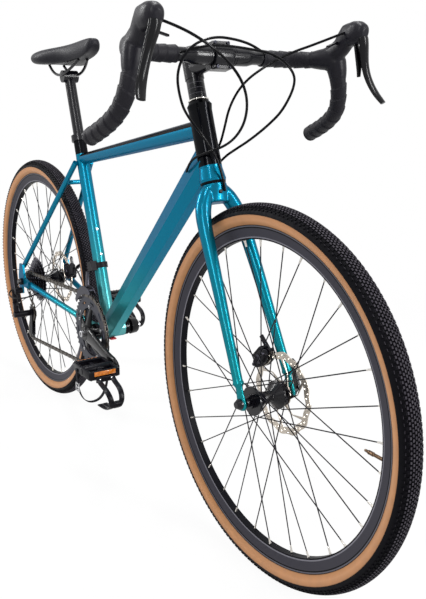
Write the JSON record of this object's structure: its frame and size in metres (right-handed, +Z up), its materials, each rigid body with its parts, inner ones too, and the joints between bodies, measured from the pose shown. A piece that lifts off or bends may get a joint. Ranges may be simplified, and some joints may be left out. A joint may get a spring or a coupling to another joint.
{
  "type": "gravel bicycle",
  "caption": "Drop-bar gravel bicycle with tan-wall knobbed tyres, disc brakes, double chainrings, toe-clip pedals; wheels, cranks, steering, levers and derailleurs move.",
  "frame": {"origin": "on the ground, midway between the two axles, in the bike's mid plane", "axes": "+X forward, +Y to the rider's left, +Z up"},
  "size_m": [1.7959, 0.5186, 1.0119],
  "materials": {
    "blue_paint": "metallic paint, blue to pale teal",
    "black_paint": "satin black",
    "black_alloy": "anodised black",
    "silver_alloy": "bright alloy",
    "steel": "brushed",
    "grey_steel": "dark plated",
    "chain_steel": "bronze brown",
    "tan_rubber": "tan sidewall, black tread",
    "black_rubber": "matte",
    "bar_tape": "textured tape",
    "black_plastic": "matte",
    "gloss_black": "gloss",
    "cable_housing": "satin",
    "saddle_cover": "matte black cover"
  },
  "bodies": {
    "frame": {"head_tube": "black_paint", "top_tube": "blue_paint", "down_tube": "blue_paint", "seat_tube": "blue_paint", "bottom_bracket": "blue_paint", "chainstays": "blue_paint", "seatstays": "blue_paint", "headset_cups": "black_alloy", "seat_clamp": "black_alloy", "rear_axle": "steel", "rear_caliper": "black_alloy", "front_derailleur_bracket": "black_alloy", "rear_derailleur_bracket": "black_alloy", "chain": "chain_steel", "rear_cables": "cable_housing"},
    "seat_assembly": {"seatpost": "black_alloy", "saddle": "saddle_cover"},
    "fork": {"steerer_tube": "silver_alloy", "fork_blades": "blue_paint", "headset_spacers": "black_alloy", "stem": "black_alloy", "stem_faceplate": "black_alloy", "handlebar": "black_alloy", "bar_tape": "bar_tape", "brake_hoods": "black_rubber", "front_axle": "steel", "front_caliper": "black_alloy", "handlebar_cables": "cable_housing"},
    "front_wheel": {"front_tyre": "tan_rubber", "front_rim": "black_alloy", "front_spokes": "grey_steel", "front_hub": "black_alloy", "front_rotor": "steel"},
    "rear_wheel": {"rear_tyre": "tan_rubber", "rear_rim": "black_alloy", "rear_spokes": "grey_steel", "rear_hub": "black_alloy", "rear_rotor": "steel"},
    "crankset": {"chainrings": "grey_steel", "crank_arm_right": "black_alloy", "crank_arm_left": "black_alloy"},
    "cassette": {"cassette": "steel"},
    "jockey_upper": {"jockey_wheel_upper": "black_plastic"},
    "jockey_lower": {"jockey_wheel_lower": "black_plastic"},
    "pedal_right": {"pedal_right": "black_plastic"},
    "pedal_left": {"pedal_left": "black_plastic"},
    "brake_lever_right": {"brake_lever_right": "gloss_black"},
    "brake_lever_left": {"brake_lever_left": "gloss_black"},
    "shift_paddle_right": {"shift_paddle_right": "gloss_black"},
    "shift_paddle_left": {"shift_paddle_left": "gloss_black"},
    "shift_thumb_right": {"shift_thumb_right": "black_plastic"},
    "shift_thumb_left": {"shift_thumb_left": "black_plastic"},
    "front_brake_arm": {"front_brake_arm": "black_alloy"},
    "rear_brake_arm": {"rear_brake_arm": "black_alloy"},
    "front_qr_lever": {"front_qr_lever": "black_alloy"},
    "rear_qr_lever": {"rear_qr_lever": "black_alloy"},
    "front_derailleur_cage": {"front_derailleur_cage": "steel"},
    "rear_derailleur_link": {"rear_derailleur_link": "black_alloy"},
    "rear_derailleur_knuckle": {"rear_derailleur_knuckle": "black_alloy"},
    "rear_derailleur_cage": {"rear_derailleur_cage": "black_alloy"}
  },
  "joints": [
    {"name": "steering", "type": "hinge", "parent": "frame", "child": "fork", "pos_m": [0.359, 0, 0.72845], "axis": [-0.3338, 0, 0.9426], "range_deg": [-65, 65], "deforming": ["handlebar_cables"]},
    {"name": "saddle_height", "type": "slide", "parent": "frame", "child": "seat_assembly", "axis": [-0.309, 0, 0.9511], "range_m": [-0.12, 0.06]},
    {"name": "front_wheel_spin", "type": "hinge", "parent": "fork", "child": "front_wheel", "pos_m": [0.545, 0, 0.353], "axis": [0, 1, 0], "continuous": true},
    {"name": "rear_wheel_spin", "type": "hinge", "parent": "frame", "child": "rear_wheel", "pos_m": [-0.545, 0, 0.353], "axis": [0, 1, 0], "continuous": true},
    {"name": "crank_spin", "type": "hinge", "parent": "frame", "child": "crankset", "pos_m": [-0.1051, 0, 0.31], "axis": [0, 1, 0], "continuous": true, "deforming": ["chain"]},
    {"name": "cassette_spin", "type": "hinge", "parent": "frame", "child": "cassette", "pos_m": [-0.545, 0, 0.353], "axis": [0, 1, 0], "continuous": true},
    {"name": "pedal_right_spin", "type": "hinge", "parent": "crankset", "child": "pedal_right", "pos_m": [0.0675, -0.12, 0.28112], "axis": [0, 1, 0], "continuous": true},
    {"name": "pedal_left_spin", "type": "hinge", "parent": "crankset", "child": "pedal_left", "pos_m": [-0.2777, 0.12, 0.33888], "axis": [0, 1, 0], "continuous": true},
    {"name": "brake_lever_right_pull", "type": "hinge", "parent": "fork", "child": "brake_lever_right", "pos_m": [0.51706, -0.21, 0.99503], "axis": [0, 1, 0], "range_deg": [0, 22], "stiffness_Nm_per_rad": 1},
    {"name": "brake_lever_left_pull", "type": "hinge", "parent": "fork", "child": "brake_lever_left", "pos_m": [0.51706, 0.21, 0.99503], "axis": [0, 1, 0], "range_deg": [0, 22], "stiffness_Nm_per_rad": 1},
    {"name": "shift_paddle_right_push", "type": "hinge", "parent": "brake_lever_right", "child": "shift_paddle_right", "pos_m": [0.50226, -0.21, 0.97703], "axis": [1, 0, 0], "range_deg": [0, 18], "stiffness_Nm_per_rad": 0.1},
    {"name": "shift_paddle_left_push", "type": "hinge", "parent": "brake_lever_left", "child": "shift_paddle_left", "pos_m": [0.50226, 0.21, 0.97703], "axis": [-1, 0, 0], "range_deg": [0, 18], "stiffness_Nm_per_rad": 0.1},
    {"name": "shift_thumb_right_push", "type": "hinge", "parent": "fork", "child": "shift_thumb_right", "pos_m": [0.47025, -0.1917, 0.97783], "axis": [-1, 0, 0], "range_deg": [0, 22], "stiffness_Nm_per_rad": 0.1},
    {"name": "shift_thumb_left_push", "type": "hinge", "parent": "fork", "child": "shift_thumb_left", "pos_m": [0.47025, 0.1917, 0.97783], "axis": [1, 0, 0], "range_deg": [0, 22], "stiffness_Nm_per_rad": 0.1},
    {"name": "front_brake_arm_pull", "type": "hinge", "parent": "fork", "child": "front_brake_arm", "pos_m": [0.48035, 0.0548, 0.41121], "axis": [0, 1, 0], "range_deg": [0, 20]},
    {"name": "rear_brake_arm_pull", "type": "hinge", "parent": "frame", "child": "rear_brake_arm", "pos_m": [-0.46818, 0.0698, 0.39384], "axis": [0, 1, 0], "range_deg": [0, 20]},
    {"name": "front_qr_open", "type": "hinge", "parent": "fork", "child": "front_qr_lever", "pos_m": [0.545, 0.0731, 0.353], "axis": [-0.9426, 0, -0.3338], "range_deg": [0, 170]},
    {"name": "rear_qr_open", "type": "hinge", "parent": "frame", "child": "rear_qr_lever", "pos_m": [-0.545, 0.0906, 0.353], "axis": [-0.9511, 0, -0.309], "range_deg": [0, 170]},
    {"name": "front_derailleur_shift", "type": "hinge", "parent": "frame", "child": "front_derailleur_cage", "pos_m": [-0.15608, -0.03305, 0.46692], "axis": [1, 0, 0], "range_deg": [0, 10], "stiffness_Nm_per_rad": 2, "deforming": ["chain"]},
    {"name": "rear_derailleur_shift", "type": "hinge", "parent": "frame", "child": "rear_derailleur_link", "pos_m": [-0.58068, -0.088, 0.28361], "axis": [0, 0, 1], "range_deg": [-7, 42], "stiffness_Nm_per_rad": 2, "deforming": ["chain"]},
    {"name": "rear_derailleur_knuckle_turn", "type": "hinge", "parent": "rear_derailleur_link", "child": "rear_derailleur_knuckle", "pos_m": [-0.54205, -0.09835, 0.28361], "axis": [0, 0, 1], "range_deg": [-42, 7]},
    {"name": "rear_derailleur_cage_swing", "type": "hinge", "parent": "rear_derailleur_knuckle", "child": "rear_derailleur_cage", "pos_m": [-0.54205, -0.0528, 0.25431], "axis": [0, 1, 0], "range_deg": [-8, 30], "stiffness_Nm_per_rad": 1, "deforming": ["chain"]},
    {"name": "jockey_upper_spin", "type": "hinge", "parent": "rear_derailleur_cage", "child": "jockey_upper", "pos_m": [-0.531, -0.0528, 0.259], "axis": [0, 1, 0], "continuous": true},
    {"name": "jockey_lower_spin", "type": "hinge", "parent": "rear_derailleur_cage", "child": "jockey_lower", "pos_m": [-0.53856, -0.0528, 0.19746], "axis": [0, 1, 0], "continuous": true}
  ],
  "couplings": [
    {"joint": "cassette_spin", "follows": "crank_spin", "ratio": 3.5385},
    {"joint": "jockey_upper_spin", "follows": "crank_spin", "ratio": -4.1818},
    {"joint": "jockey_lower_spin", "follows": "crank_spin", "ratio": 4.1818},
    {"joint": "front_brake_arm_pull", "follows": "brake_lever_left_pull", "ratio": 0.9},
    {"joint": "rear_brake_arm_pull", "follows": "brake_lever_right_pull", "ratio": 0.9},
    {"joint": "rear_derailleur_knuckle_turn", "follows": "rear_derailleur_shift", "ratio": -1}
  ]
}
